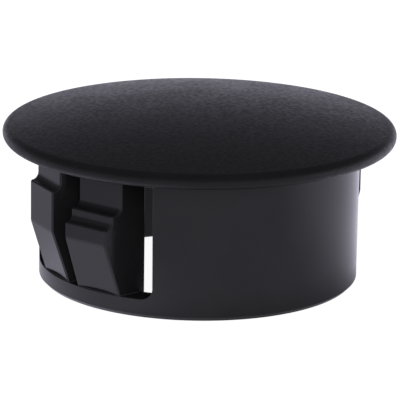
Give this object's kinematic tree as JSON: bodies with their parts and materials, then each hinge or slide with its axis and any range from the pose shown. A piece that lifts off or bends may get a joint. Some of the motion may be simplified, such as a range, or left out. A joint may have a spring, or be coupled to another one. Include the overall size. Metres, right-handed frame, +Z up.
{
  "type": "hole plug",
  "caption": "Domed round plug with a hollow skirt and stepped snap-in fingers in side windows, which closes a round hole in a panel.",
  "frame": {"origin": "middle of the bottom ring, in the plane that the plug stands on", "axes": "+Z up along the plug's axis towards the dome; the finger windows face +X and -X"},
  "size_m": [0.0306, 0.0306, 0.0137],
  "materials": {
    "black_nylon": "fine matte grain on the dome, satin on the skirt and fingers"
  },
  "bodies": {
    "root": {"hole_plug": "black_nylon"}
  },
  "joints": []
}
